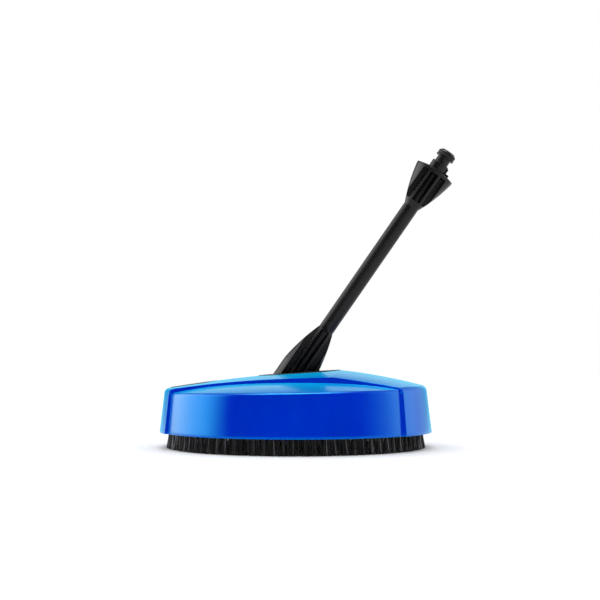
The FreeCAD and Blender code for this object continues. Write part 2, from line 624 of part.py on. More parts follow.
def screws(name, places, seat, tip):
    """A group of equal pan-head screws driven upwards: heads below seat, points at tip."""
    group = []
    head_bottom = seat - size("screw_head")
    for x, y in places:
        head = cylinder(size("screw_head_radius"), head_bottom, seat, x, y)
        rim = [edge for edge in head.Edges if edge.Closed and abs(edge.BoundBox.ZMax - head_bottom) < 0.1]
        head = head.makeFillet(0.9, rim)
        for half_x, half_y in ((2.6, 0.5), (0.5, 2.6)):
            low = (x - half_x, y - half_y, head_bottom - 1)
            head = head.cut(box(low, (x + half_x, y + half_y, head_bottom + 1)))
        shank = cylinder(size("screw_radius"), seat, tip - 1.5, x, y)
        point = Part.makeCone(size("screw_radius"), 0.6, 1.5, Vector(x, y, tip - 1.5))
        group.append(head.fuse(shank).fuse(point).removeSplitter())
    solid(name, Part.makeCompound(group))


screws("carrier_screws", carrier_screw_places, size("flange_bottom"), 35.0)
screws("coupling_screws", coupling_screw_places, size("coupling_flange_bottom"), 69.0)
screws("lance_screws", lance_screw_places, sunk, 75.8)
screws("plate_screws", plate_screw_places, sunk, 72.2)


# ---------------------------------------------------------------- checks and export

doc.recompute()
for item in doc.Objects:
    faults = {"Invalid", "Error"} & set(item.State)
    if faults:
        raise RuntimeError(f"{item.Label} failed: {sorted(faults)}")
for piece in nodes:
    if piece.Shape.isNull() or not piece.Shape.isValid() or piece.Shape.Volume <= 0:
        raise RuntimeError(f"{piece.Label} has no valid solid")

os.makedirs("parts", exist_ok=True)
for piece in nodes:
    piece.Shape.exportStep(f"parts/{piece.Label}.step")
    bounds = piece.Shape.BoundBox
    print(f"{piece.Label:28s} solids {len(piece.Shape.Solids)}  volume {piece.Shape.Volume / 1000:8.2f} cm3"
          f"  z {bounds.ZMin:7.2f} to {bounds.ZMax:7.2f}  x {bounds.XMin:8.2f} to {bounds.XMax:8.2f}")
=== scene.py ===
# %% [markdown]
# # A surface cleaner: the frame comes first
# This tool washes patios. A round blue hood stands on a ring of bristles, and a slanting black lance brings
# in water for two spinning jets underneath. The engineering model is loaded as a fixed frame, in metres,
# and every surface below is worked out in that same frame, so nothing has to be fitted afterwards.

# %% Load the frame
import json
import math

import bmesh
import bpy
import numpy as np
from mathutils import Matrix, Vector


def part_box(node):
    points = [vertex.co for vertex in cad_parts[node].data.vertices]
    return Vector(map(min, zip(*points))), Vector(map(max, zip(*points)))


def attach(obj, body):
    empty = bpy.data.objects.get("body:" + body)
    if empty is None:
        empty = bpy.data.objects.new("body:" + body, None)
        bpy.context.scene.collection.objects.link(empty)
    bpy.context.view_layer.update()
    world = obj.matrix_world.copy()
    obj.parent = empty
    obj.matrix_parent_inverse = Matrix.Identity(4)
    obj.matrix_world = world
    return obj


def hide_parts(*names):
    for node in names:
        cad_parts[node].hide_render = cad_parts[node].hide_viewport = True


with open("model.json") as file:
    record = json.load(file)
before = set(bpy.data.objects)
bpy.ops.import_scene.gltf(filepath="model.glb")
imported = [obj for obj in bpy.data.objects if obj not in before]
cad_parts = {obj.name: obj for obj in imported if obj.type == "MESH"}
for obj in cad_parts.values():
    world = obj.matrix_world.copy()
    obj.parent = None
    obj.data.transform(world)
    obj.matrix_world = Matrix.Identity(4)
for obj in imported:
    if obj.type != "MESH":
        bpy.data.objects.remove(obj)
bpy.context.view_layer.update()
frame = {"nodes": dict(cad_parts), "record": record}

MM = 0.001                                  # shapes are worked out in millimetres and stored in metres

# %% [markdown]
# ## The viewpoint
# A camera can be placed by hand in the viewport, or worked out. Here it stands a little above the hood's
# roof and 9.5 degrees round from square-on, with a long lens, so that the hood's rim curves only slightly.

# %% Camera
VIEW_TURN = math.radians(9.5)
VIEW_DISTANCE, VIEW_HEIGHT = 1.300, 0.090
ASIDE, AIM_HEIGHT = 0.0044, 0.1517
LENS = 75.2                                 # focal length in millimetres

camera = bpy.data.objects.new("camera", bpy.data.cameras.new("camera"))
bpy.context.scene.collection.objects.link(camera)
camera.data.lens = LENS
camera.data.clip_start = 0.01
eye = Vector((VIEW_DISTANCE * math.sin(VIEW_TURN), -VIEW_DISTANCE * math.cos(VIEW_TURN), VIEW_HEIGHT))
aim = Vector((ASIDE * math.cos(VIEW_TURN), ASIDE * math.sin(VIEW_TURN), AIM_HEIGHT))
camera.location = eye
camera.rotation_euler = (aim - eye).to_track_quat("-Z", "Y").to_euler()
bpy.context.scene.camera = camera
print("camera at", [round(value, 3) for value in eye])

# %% [markdown]
# ## From arrays to a mesh
# Every new piece here is a grid of points: rows along one parameter, columns along the other. The helpers
# join such a grid into four-cornered faces, merge the points that meet at seams and poles, turn all faces
# outwards, and hand the finished mesh to its CAD body. A mesh could also be pushed about by hand, but a
# formula can be read, checked and changed.

# %% Grid helpers
def ease(value, low, high):
    """Smooth step: 0 below low, 1 above high, and 3t^2 - 2t^3 between, where t is the share of the way."""
    share = np.clip((value - low) / (high - low), 0.0, 1.0)
    return share * share * (3 - 2 * share)


def mix(first, second, share):
    """Straight blend: first where share is 0, second where it is 1."""
    return first + (second - first) * share


def grid_faces(rows, columns, closed=False):
    """Faces of a grid: each joins a point and the next one in its row to the pair in the following row.
    When closed, the last column joins the first."""
    last = columns if closed else columns - 1
    row, column = np.meshgrid(np.arange(rows - 1), np.arange(last), indexing="ij")
    after = (column + 1) % columns
    corners = (row * columns + column, row * columns + after,
               (row + 1) * columns + after, (row + 1) * columns + column)
    return np.stack([corner.ravel() for corner in corners], axis=1)


def joined(*sheets):
    """Several (points, faces) sheets as one: each later sheet's faces count on from the points before it."""
    points, faces, start = [], [], 0
    for sheet_points, sheet_faces in sheets:
        flat = np.reshape(sheet_points, (-1, 3))
        points.append(flat)
        faces.append(sheet_faces + start)
        start += len(flat)
    return np.concatenate(points), np.concatenate(faces)


MERGE = 2e-6                                # points closer than this, in metres, become one


def make_piece(name, points, faces, body, stands_for, crease=32.0):
    """A finished piece from points in millimetres: doubles merged, faces outwards, smooth up to crease
    degrees, riding on its body and standing for the CAD nodes that it replaces."""
    points = points.reshape(-1, 3)
    mesh = bpy.data.meshes.new(name)
    mesh.from_pydata((points * MM).tolist(), [], faces.tolist())
    work = bmesh.new()
    work.from_mesh(mesh)
    bmesh.ops.remove_doubles(work, verts=work.verts, dist=MERGE)
    bmesh.ops.dissolve_degenerate(work, edges=work.edges, dist=MERGE)
    bmesh.ops.recalc_face_normals(work, faces=work.faces)
    open_edges = sum(1 for edge in work.edges if len(edge.link_faces) != 2)
    work.to_mesh(mesh)
    work.free()
    mesh.shade_smooth()
    mesh.set_sharp_from_angle(angle=math.radians(crease))
    piece = bpy.data.objects.new(name, mesh)
    bpy.context.scene.collection.objects.link(piece)
    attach(piece, body)
    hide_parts(*stands_for)
    low, high = np.min(points, axis=0), np.max(points, axis=0)
    print(f"{name}: {len(mesh.polygons)} faces, {open_edges} open edges, size {np.round(high - low, 1)} mm")
    return piece


print("a grid of 3 rows and 4 columns has", len(grid_faces(3, 4)), "faces")

# %% [markdown]
# ## The hood's roof
# The hood is one injection moulding. Its round roof is nearly flat and falls away towards the edge. A raised
# band crosses it from end to end: it climbs in a gentle arc to a crisp ridge in front of the lance, then
# falls faster. Two height formulas over the plan describe both, and a mask across the band's sides picks
# between them, which keeps the band's steps sharp without cutting one solid with another.

# %% Roof heights
hood_low, hood_high = (np.array(corner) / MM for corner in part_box("hood_shell"))
RIM = hood_low[2]                           # height of the hood's lower edge
WALL = 3.0                                  # thickness of the moulding
RIDGE = 47.0                                # how far forward the ridge lies
BAND = 67.0                                 # half the band's width on the roof
DISC = 128.0                                # radius where the roof hands over to the rounded shoulder
STEP_HALF = 0.8                             # half the width of the band's smooth side step
ROOF_TOP, ROOF_TILT = 66.9, 0.017           # height of the round roof's middle, and its rise towards +X
LEVEL_TO, FALL_OVER, ROOF_FALL = 55.0, 77.0, 8.6
BEND_SOFT = 1.4                             # how much the ridge's corner is softened
SLOPE_BEHIND, SLOPE_CHANGE = 0.0377, 0.1437
BOW_BEHIND, BOW_AHEAD = 0.000358, 0.00093
CROWN_LEAST, CROWN_MORE, CROWN_AT, CROWN_OVER = 3.0, 3.7, 55.0, 90.0


def dome_roof(x, y):
    """Height of the round roof: level out to LEVEL_TO, then lower by the square of the distance beyond
    that, and tilted up slightly towards +X."""
    beyond = np.maximum(np.hypot(x, y) - LEVEL_TO, 0.0) / FALL_OVER
    return ROOF_TOP - ROOF_FALL * beyond ** 2 + ROOF_TILT * x


def band_roof(x, y):
    """Height of the band: a parabola behind the ridge and a steeper one ahead of it, joined by a softened
    corner, and crowned across: lower by the square of the share of the way to its side."""
    ahead = x - RIDGE
    bend = (ahead + np.sqrt(ahead * ahead + BEND_SOFT)) / 2
    crest = hood_high[2] + SLOPE_BEHIND * ahead - SLOPE_CHANGE * bend
    crest = crest - BOW_BEHIND * np.minimum(ahead, 0) ** 2 - BOW_AHEAD * np.maximum(ahead, 0) ** 2
    crown = CROWN_LEAST + CROWN_MORE * np.exp(-((x - CROWN_AT) / CROWN_OVER) ** 2)
    return crest - crown * (y / BAND) ** 2


def band_mask(across):
    """1 on the band, 0 beside it, with a smooth step at its side."""
    return 1 - ease(np.abs(across), BAND - STEP_HALF, BAND + STEP_HALF)


def roof(x, y):
    """Height of the whole roof: the band where the mask is 1, the round roof where it is 0."""
    return mix(dome_roof(x, y), band_roof(x, y), band_mask(y))


ridge_height, beside = float(roof(RIDGE, 0.0)), float(roof(RIDGE, BAND + 8))
print("ridge", round(ridge_height, 2), "mm, roof beside it", round(beside, 2), "mm")

# %% [markdown]
# ## The hood's wall
# The walls lean inwards so that the part leaves its mould. The band's ends stand a few millimetres outside
# the round wall. Each column of the wall grid is a profile from the roof over a rounded shoulder, a quadratic
# Bezier curve, down to the rim and up again inside. There is one profile for the round wall and one for the
# band's ends, and the same mask blends them. The columns are bunched where the mask changes.

# %% Wall profiles
flat_part = np.linspace(0.0, BAND - 1.8, 18)
side_step = BAND + np.linspace(-1.1, 1.1, 13)
beyond_band = DISC * np.sin(np.linspace(math.asin((BAND + 2.0) / DISC), math.pi / 2, 26))
half_lines = np.concatenate([flat_part, side_step, beyond_band])
lines = np.concatenate([-half_lines[:0:-1], half_lines])      # rows of the roof, one for each y
right_half = np.arcsin(np.clip(lines / DISC, -1, 1))
columns = np.concatenate([right_half, (math.pi - right_half[::-1])[1:-1]])
EDGE = math.asin(BAND / DISC)               # the angle of the band's side where the roof ends
ROOF_SIDE, SHOULDER_SIDE, WALL_SIDE, RIM_SIDE = np.radians([31.0, 30.9, 30.45, 31.2])
NOMINAL_WALL, ROUND_RIM = 43.0, 0.6         # a first guess at the wall's height, and the rim's rounding


def turned_columns(edge_angle):
    """Column angles stretched so that the band's side comes to edge_angle: in proportion inside the band,
    and in proportion to the rest of the quarter turn outside it."""
    lean = np.arcsin(np.clip(np.sin(columns), -1, 1))
    size = np.abs(lean)
    inside = size * edge_angle / EDGE
    outside = math.pi / 2 - (math.pi / 2 - size) * (math.pi / 2 - edge_angle) / (math.pi / 2 - EDGE)
    moved = np.sign(lean) * np.where(size < EDGE, inside, outside)
    return np.where(np.cos(columns) >= 0, moved, math.pi - moved)


roof_share = np.linspace(0, 1, 4)[:, None]
corner_share = np.linspace(0, 1, 9)[1:, None]
wall_share = np.linspace(0, 1, 16)[1:, None]
side_angles = np.concatenate([
    np.linspace(EDGE, ROOF_SIDE, 4), np.linspace(SHOULDER_SIDE, WALL_SIDE, 8),
    np.linspace(WALL_SIDE, RIM_SIDE, 16)[1:], [RIM_SIDE, RIM_SIDE]])
angles = np.stack([turned_columns(angle) for angle in side_angles])


def side_profile(height_at, rim_radius, draft, corner):
    """Radius and height down one kind of wall, for every column: along the roof, then a quadratic Bezier
    over the shoulder, (1-t)^2 A + 2t(1-t) B + t^2 C, then straight down, growing by draft for each
    millimetre, to a rounded rim."""
    top = angles[4]
    edge = rim_radius - draft * NOMINAL_WALL
    for _ in range(3):
        edge_height = height_at(edge * np.cos(top), edge * np.sin(top))
        edge = rim_radius - draft * (edge_height - RIM)
    radius = DISC + roof_share * (edge - corner - DISC)
    height = height_at(radius * np.cos(angles[:4]), radius * np.sin(angles[:4]))
    low = edge_height - corner
    low_radius = rim_radius - draft * (low - RIM)
    over = 2 * corner_share * (1 - corner_share)
    before, after = (1 - corner_share) ** 2, corner_share ** 2
    shoulder = before * radius[-1] + over * edge + after * low_radius
    shoulder_height = before * height[-1] + over * edge_height + after * low
    wall_height = low + wall_share * (RIM + ROUND_RIM - low)
    wall = rim_radius - draft * (wall_height - RIM)
    rim = np.ones_like(low) * np.array([[rim_radius - 0.15], [rim_radius - 0.5]])
    rim_height = np.ones_like(low) * np.array([[RIM + 0.15], [RIM]])
    heights = np.concatenate([height, shoulder_height, wall_height, rim_height])
    return np.concatenate([radius, shoulder, wall, rim]), heights


dome_radius, dome_height = side_profile(dome_roof, rim_radius=hood_high[1], draft=4.5 / 42.4, corner=2.6)
end_radius, end_height = side_profile(band_roof, rim_radius=hood_high[0], draft=5.3 / 44.1, corner=4.6)
share = band_mask(DISC * np.sin(columns))
outer_radius = mix(dome_radius, end_radius, share)
outer_height = mix(dome_height, end_height, share)
inner_radius = (outer_radius - WALL)[::-1]
CEILING_RISE = 40.0                         # how far up the wall the full thickness comes off the height
depth = np.clip((outer_height - RIM) / CEILING_RISE, 0, 1)
inner_height = (outer_height - WALL * depth)[::-1]
inner_radius[:2] = inner_radius[2] + np.array([[0.35], [0.1]])
around = np.concatenate([angles, angles[::-1]])
skin_radius = np.concatenate([outer_radius, inner_radius])
skin_height = np.concatenate([outer_height, inner_height])
side_points = np.stack([skin_radius * np.cos(around), skin_radius * np.sin(around), skin_height], axis=-1)
print("wall grid", side_points.shape[:2], "shoulder at", round(float(dome_height[7].mean()), 1), "mm")

# %% [markdown]
# ## Closing the roof
# The roof is a disc laid out in lines from side to side. Every line starts and ends on a column of the wall
# grid, so the two share their edge points. One point of each line follows the ridge, which keeps the ridge
# crisp. The ceiling is the same disc, moved down and drawn in by the wall's thickness.

# %% Roof disc and the whole hood
reach = DISC * np.cos(right_half)[:, None]
ridge_line = RIDGE * np.minimum(1.0, reach / (DISC * math.cos(EDGE)))
near_ridge = np.array([4.0, 2.2, 1.1, 0.4])  # extra points this far from the ridge keep its corner round
BACK_LENGTH, FRONT_LENGTH, RIDGE_ZONE = 175, 70, 6.5
to_zone = np.linspace(0, 1 - RIDGE_ZONE / BACK_LENGTH, 44)
from_zone = np.linspace(RIDGE_ZONE / FRONT_LENGTH, 1, 22)
behind = np.concatenate([to_zone, 1 - near_ridge / BACK_LENGTH, [1.0]])
ahead_of = np.concatenate([near_ridge[::-1] / FRONT_LENGTH, from_zone])
roof_x = np.concatenate([mix(-reach, ridge_line, behind), mix(ridge_line, reach, ahead_of)], axis=1)
roof_y = np.broadcast_to(lines[:, None], roof_x.shape)
roof_points = np.stack([roof_x, roof_y, roof(roof_x, roof_y)], axis=-1)
inwards = (DISC - WALL) / DISC
ceiling = roof_points * np.array([inwards, inwards, 1]) - np.array([0, 0, WALL])

hood_points, hood_faces = joined(
    (side_points, grid_faces(*side_points.shape[:2], closed=True)),
    (roof_points, grid_faces(*roof_points.shape[:2])),
    (ceiling, grid_faces(*ceiling.shape[:2])))
hood = make_piece("hood", hood_points, hood_faces, "hood", ["hood_shell"], crease=38.0)

# %% [markdown]
# ## Posts inside the hood
# The hood carries a thick round pad over the water coupling and six posts for the brush ring's
# screws. Each is an upright post whose top runs into the roof, so one function of a radius makes them all.

# %% Pad and posts
def post(x, y, radius, bottom, steps):
    """An upright post: polar grid whose rows go out over the foot, up the side and in again over the top,
    which follows the roof from half a wall below it."""
    turn = np.arange(steps) * 2 * math.pi / steps
    out = np.array([0, 0.5, radius - 0.5, radius - 0.15, radius, radius, radius, radius - 1, radius * 0.5, 0])
    up = np.array([0, 0, 0, 0, 0.01, 0.5, 1, 1, 1, 1])[:, None]
    lift = np.array([0, 0, 0, 0.15, 0.5, 0, 0, 0, 0, 0])[:, None]
    plan_x = x + out[:, None] * np.cos(turn)
    plan_y = y + out[:, None] * np.sin(turn)
    height = bottom + lift + up * (roof(plan_x, plan_y) - WALL / 2 - bottom)
    return np.stack([plan_x, plan_y, height], axis=-1), grid_faces(len(out), steps, closed=True)


POST_CIRCLE = 119.0
post_turns = np.radians(30 + 60 * np.arange(6))
posts = [post(POST_CIRCLE * math.cos(turn), POST_CIRCLE * math.sin(turn), radius=4.2, bottom=25.5, steps=24)
         for turn in post_turns]
pad = post(0.0, 0.0, radius=47.0, bottom=64.0, steps=96)
inside_points, inside_faces = joined(pad, *posts)
inside = make_piece("hood_pad_and_posts", inside_points, inside_faces, "hood", ["hood_shell"])

# %% [markdown]
# ## The plate and the inlay
# A thin black plate frames the lance's foot, and a black inlay lies in the band's low end. Both are sheets
# that follow the roof's formula and stand proud of it by a fraction of a millimetre, with eased edges. They
# could be projected onto the hood with a modifier, but the roof's own formula is exact.

# %% Plate and inlay
def stadium(turn, middle, straight, radius):
    """Plan of a stadium seen from its middle, for each direction: the distance to its straight side, or to
    the round end whose centre is straight ahead of the middle."""
    across, along = np.abs(np.sin(turn)), np.abs(np.cos(turn))
    on_end = straight * along + np.sqrt(np.maximum(radius ** 2 - (straight * across) ** 2, 0))
    on_side = radius / np.maximum(across, 1e-6)
    distance = np.where(radius * along <= straight * across, on_side, on_end)
    return np.stack([middle + distance * np.cos(turn), distance * np.sin(turn)], axis=-1)


def rounded_rectangle(low, high, corner, count):
    """Plan of a rectangle with round corners: a circle whose quarters are moved out to the corners, then
    spaced evenly by length."""
    turn = (np.arange(64) + 0.5) * 2 * math.pi / 64
    circle = np.stack([np.cos(turn), np.sin(turn)], axis=-1)
    low, high = np.array(low), np.array(high)
    ring = (low + high) / 2 + np.sign(circle) * ((high - low) / 2 - corner) + corner * circle
    ring = np.concatenate([ring, ring[:1]])
    travelled = np.concatenate([[0], np.cumsum(np.hypot(*np.diff(ring, axis=0).T))])
    places = np.linspace(0, travelled[-1], count, endpoint=False)
    return np.stack([np.interp(places, travelled, ring[:, axis]) for axis in (0, 1)], axis=-1)


def lying_sheet(inner, outer, proud, shares):
    """A sheet on the roof between two outlines: rows run from the inner outline to the outer one on top,
    round the edge in three small steps, and back underneath."""
    width = np.hypot(*(outer - inner).T)[:, None]
    shares = np.array(shares)[None, :] * (1 - 0.6 / width)
    top = np.concatenate([shares, 1 - 0.25 / width, 1 - 0.06 / width, width / width], axis=1)
    rise = np.concatenate([np.ones(shares.shape[1]), [0.88, 0.6, 0.0]]) * proud
    way = np.concatenate([top, top[:, -1:], top[:, :1]], axis=1)
    rise = np.concatenate([rise, [-0.5, -0.5]])
    plan = inner[:, None] + (outer - inner)[:, None] * way[..., None]
    height = roof(plan[..., 0], plan[..., 1]) + rise
    points = np.concatenate([plan, height[..., None]], axis=-1).swapaxes(0, 1)
    points = np.concatenate([points, points[:1]])
    return points, grid_faces(*points.shape[:2], closed=True)


OUTLINE_STEPS = 144
turn = np.linspace(0, 2 * math.pi, OUTLINE_STEPS, endpoint=False)
foot_ring = np.stack([1.4 + 22.4 * np.cos(turn), 18.2 * np.sin(turn)], axis=-1)  # inside the lance's foot
plate_outline = stadium(turn, middle=4.0, straight=12.5, radius=30.0)
plate_points, plate_faces = lying_sheet(foot_ring, plate_outline, proud=0.55, shares=np.linspace(0, 1, 7))
plate = make_piece("base_plate", plate_points, plate_faces, "hood", ["base_plate"])

INLAY_REACH = 128.6                         # the hood's shoulder limits the inlay to this radius
inlay_outline = rounded_rectangle((-130.0, -42.0), (-83.0, 42.0), corner=8.0, count=OUTLINE_STEPS)
distance = np.hypot(*inlay_outline.T)[:, None]
inlay_outline = inlay_outline * np.minimum(1.0, INLAY_REACH / distance)
inlay_middle = np.ones_like(inlay_outline) * np.array([-105.0, 0.0])
inlay_points, inlay_faces = lying_sheet(inlay_middle, inlay_outline, proud=0.3, shares=np.linspace(0, 1, 15))
inlay = make_piece("front_inlay", inlay_points, inlay_faces, "hood", ["front_inlay"])

# %% [markdown]
# ## The lance
# The lance is one long black moulding: a flared foot, a round tube, and a flared collar under the nipple.
# Both flares have pockets on their two faces that leave two ribs, a thin web and a solid skin at each side.
# A height field fits such a part: over a grid along and across the lance, the half thickness is that of the
# round form, and drops to the pocket floor where a mask says so. The same sheet mirrored is the far face.

# %% The lance's own directions
TILT, MOULD_TURN = math.radians(35.0), math.radians(10.0)
FOOT = np.array([0.0, 0.0, 75.3])           # where the lance's axis crosses the rotor's axis
ALONG = np.array([math.sin(TILT), 0.0, math.cos(TILT)])
FORWARD = np.array([math.cos(TILT), 0.0, -math.sin(TILT)])
SIDEWAYS = np.array([0.0, 1.0, 0.0])


def on_lance(across, through, along, turn=0.0):
    """Points of the lance in the frame: its axis, plus across and through on axes turned about it."""
    first = math.cos(turn) * FORWARD + math.sin(turn) * SIDEWAYS
    second = -math.sin(turn) * FORWARD + math.cos(turn) * SIDEWAYS
    return (FOOT + across[..., None] * first + through[..., None] * second + along[..., None] * ALONG)


def arc_through(start, middle, end):
    """Centre and radius of the circle through three (along, radius) points, from two straight equations."""
    points = np.array([start, middle, end], dtype=float)
    rows = 2 * (points[1:] - points[0])
    right = (points[1:] ** 2).sum(axis=1) - (points[0] ** 2).sum()
    centre = np.linalg.solve(rows, right)
    return centre, float(np.hypot(*(points[0] - centre)))


FOOT_RADIUS, TUBE_RADIUS, COLLAR_RADIUS = 19.2, 8.1, 21.0
FOOT_TOP, TUBE_START, TUBE_END, COLLAR_EDGE = 8.0, 55.5, 209.5, 250.0
foot_arc = arc_through((FOOT_TOP, FOOT_RADIUS), (33.0, 14.8), (TUBE_START, TUBE_RADIUS))
collar_arc = arc_through((TUBE_END, TUBE_RADIUS), (229.7, 15.9), (COLLAR_EDGE, COLLAR_RADIUS))


def lance_radius(along):
    """Radius of the round form: a straight foot, an arc in to the tube, the tube, an arc out to the
    collar."""
    def on_arc(arc):
        """The arc's upper half where its centre lies below the tube's skin, or else its lower half."""
        (middle, height), radius = arc
        rise = np.sqrt(np.maximum(radius ** 2 - (along - middle) ** 2, 0))
        return height + rise if height < TUBE_RADIUS else height - rise

    picks = [along < FOOT_TOP, along < TUBE_START, along < TUBE_END, along < COLLAR_EDGE]
    return np.select(picks, [FOOT_RADIUS, on_arc(foot_arc), TUBE_RADIUS, on_arc(collar_arc)], COLLAR_RADIUS)


print("foot arc", np.round(foot_arc[0], 1), "collar arc", np.round(collar_arc[0], 1))

# %% [markdown]
# The grid's columns have to do two jobs. Some stay at fixed distances, to follow the ribs' edges. Others
# follow the round form, so that the tube stays round. Sorting each row's columns by size merges the two
# sets into one grid that never folds over, since the k-th smallest of several smooth lines is continuous.

# %% Lance grid
SOFT = 0.35                                 # half the width over which a pocket's wall rises
CUT, FLOOR_LINE = -5.9, 2.1                 # the foot's lower end, and where its pockets start
FOOT_POCKET_END, COLLAR_POCKET, COLLAR_POCKET_END = 54.0, 216.0, 249.0
RIB_IN, RIB_OUT, SKIN_IN = 4.1, 7.3, 13.0   # the ribs' two sides and the skin's inner side
CORE_RADIUS, WEB_HALF = 7.0, 1.5            # what is left in the middle pocket and in the side pockets
FLAT_FROM, LEAN = 40.0, 0.70                # where rows lie square again, and the lean of the foot's rows
soft_steps = SOFT * np.array([-1.6, -1, -0.6, -0.25, 0, 0.25, 0.6, 1, 1.6])
rib_edges = np.concatenate([edge + soft_steps for edge in (RIB_IN, RIB_OUT, SKIN_IN)])
fixed = np.concatenate([-rib_edges[::-1], [-2.0, 0.0, 2.0], rib_edges])
fan = np.sin(np.linspace(-math.pi / 2, math.pi / 2, 41))

stations = np.concatenate([
    [CUT, CUT], np.linspace(CUT, FLOOR_LINE - 1, 6)[1:], FLOOR_LINE + soft_steps, np.linspace(4, 53, 44),
    FOOT_POCKET_END + soft_steps, np.linspace(TUBE_START, 208, 36), np.linspace(TUBE_END, 215, 6),
    COLLAR_POCKET + soft_steps, np.linspace(217.5, 248, 32), COLLAR_POCKET_END + soft_steps,
    [249.8, 250.0, 250.2, 251.4, 251.8, 252.0]])
end_along = np.array([252.1, 253.0, 254.0, 254.55, 254.7, 254.7, 254.7])
end_radius_row = np.array([20.7, 17.5, 13.6, 11.5, 10.8, 6.0, 0.0])


def slanted(station, across):
    """Distance along the lance: the foot's rows lean with its oblique end, and the lean fades upwards."""
    fade = 1 - ease(station, FLOOR_LINE + SOFT, FLAT_FROM)
    return station + LEAN * across * fade


rows = stations[:, None]
edges = []
for side in (-1.0, 1.0):
    width = lance_radius(rows)
    for _ in range(25):
        width = lance_radius(slanted(rows, side * width))
    edges.append(width)
left, right = edges
curved = np.where(fan < 0, left * fan, right * fan)
across = np.sort(np.concatenate([np.clip(fixed, -left, right), curved], axis=1), axis=1)
along = slanted(rows, across)
full = np.sqrt(np.maximum(lance_radius(along) ** 2 - across ** 2, 0))
full[:, 0] = 0
full[:, -1] = 0



def past(value, place):
    """0 before a place and 1 after it, over the width of a pocket's wall."""
    return ease(value, place - SOFT, place + SOFT)


foot_zone = past(rows, FLOOR_LINE) * (1 - past(along, FOOT_POCKET_END))
collar_zone = past(along, COLLAR_POCKET) * (1 - past(along, COLLAR_POCKET_END))
zone = np.maximum(foot_zone, collar_zone)
size = np.abs(across)
middle_pocket = zone * (1 - past(size, RIB_IN))
side_pocket = zone * past(size, RIB_OUT) * (1 - past(size, SKIN_IN))
core = np.minimum(full, np.sqrt(np.maximum(CORE_RADIUS ** 2 - across ** 2, 0)))
half = mix(mix(full, core, middle_pocket), np.minimum(full, WEB_HALF), side_pocket)
half[0] = 0                                 # the first row closes the oblique end

end_across = end_radius_row[:, None] * across[-1] / COLLAR_RADIUS
end_half = np.sqrt(np.maximum(end_radius_row[:, None] ** 2 - end_across ** 2, 0))
across = np.concatenate([across, end_across])
half = np.concatenate([half, end_half])
along = np.concatenate([along, np.ones_like(end_across) * end_along[:, None]])
near_face = on_lance(across, -half, along, MOULD_TURN)
far_face = on_lance(across, half, along, MOULD_TURN)
lance_grid = grid_faces(*across.shape)
print("lance grid", across.shape)

# %% [markdown]
# A small stop stands on the collar's top and keeps the gun's bayonet from turning too far. Rounded blocks
# like it are spheres whose eight parts have been moved out to the corners of a box.

# %% Lance piece
BLOCK_STEPS = 24                            # columns of a rounded block's sphere


def rounded_block(low, high, radius, place):
    """A block with round edges: a sphere grid, each octant moved out to its corner of the box."""
    low, high = np.array(low), np.array(high)
    lean = (np.arange(BLOCK_STEPS // 2) + 0.5) * 2 * math.pi / BLOCK_STEPS
    turn = (np.arange(BLOCK_STEPS) + 0.5) * 2 * math.pi / BLOCK_STEPS
    ball = np.stack([np.sin(lean)[:, None] * np.cos(turn), np.sin(lean)[:, None] * np.sin(turn),
                     np.cos(lean)[:, None] * np.ones_like(turn)], axis=-1)
    block = (low + high) / 2 + np.sign(ball) * ((high - low) / 2 - radius) + radius * ball
    caps = np.repeat(block[[0, -1]].mean(axis=1, keepdims=True), BLOCK_STEPS, axis=1)
    block = np.concatenate([caps[:1], block, caps[1:]])
    return place(*np.moveaxis(block, -1, 0)), grid_faces(*block.shape[:2], closed=True)


stop = rounded_block((9.6, -3.0, 251.0), (14.0, 3.0, 256.3), radius=0.7, place=on_lance)
lance_points, lance_faces = joined((near_face, lance_grid), (far_face, lance_grid[:, ::-1]), stop)
lance = make_piece("lance", lance_points, lance_faces, "hood", ["lance"], crease=50.0)

# %% [markdown]
# ## The inlet nipple
# The nipple is a round piece of satin black plastic: a barrel, a neck and a grooved head that a gun's quick
# coupling grips. A profile of radius and length carried round the axis makes it. The rubber ring in its
# groove is a plain torus, which the CAD node already shows well.

# %% Nipple
def eased_profile(corners, soft):
    """A profile with its corners rounded: each corner becomes a quadratic Bezier that starts and ends at
    soft, or less, along its two sides."""
    points = np.array(corners, dtype=float)
    share = np.linspace(0, 1, 5)[:, None]
    result = [points[:1]]
    for before, corner, after in zip(points[:-2], points[1:-1], points[2:]):
        to_start, to_end = before - corner, after - corner
        start = corner + to_start * min(0.45, soft / np.hypot(*to_start))
        end = corner + to_end * min(0.45, soft / np.hypot(*to_end))
        result.append((1 - share) ** 2 * start + 2 * share * (1 - share) * corner + share ** 2 * end)
    return np.concatenate(result + [points[-1:]])


def turned_piece(profile, steps, place):
    """A profile of (radius, along) carried round the axis."""
    turn = np.arange(steps) * 2 * math.pi / steps
    radius, along = profile[:, :1], profile[:, 1:]
    across, through = radius * np.cos(turn), radius * np.sin(turn)
    return place(across, through, along * np.ones_like(turn)), grid_faces(len(profile), steps, closed=True)


nipple_profile = eased_profile([
    (0.0, 252.0), (8.6, 252.0), (8.6, 254.2), (9.2, 254.9), (9.2, 262.6),       # foot and barrel
    (7.1, 262.6), (7.1, 268.8), (9.7, 268.8), (9.7, 270.8), (7.1, 270.8),       # neck and the head
    (7.1, 273.3), (9.7, 273.3), (9.7, 274.2), (6.8, 276.8),                     # groove, rim and chamfer
    (3.0, 276.8), (3.0, 256.0), (0.0, 256.0)], soft=0.4)                        # water bore
key = rounded_block((7.6, -2.6, 254.9), (10.3, 2.6, 261.4), radius=0.5, place=on_lance)
nipple_points, nipple_faces = joined(turned_piece(nipple_profile, steps=96, place=on_lance), key)
nipple = make_piece("inlet_nipple", nipple_points, nipple_faces, "hood", ["inlet_nipple"],
                    crease=40.0)

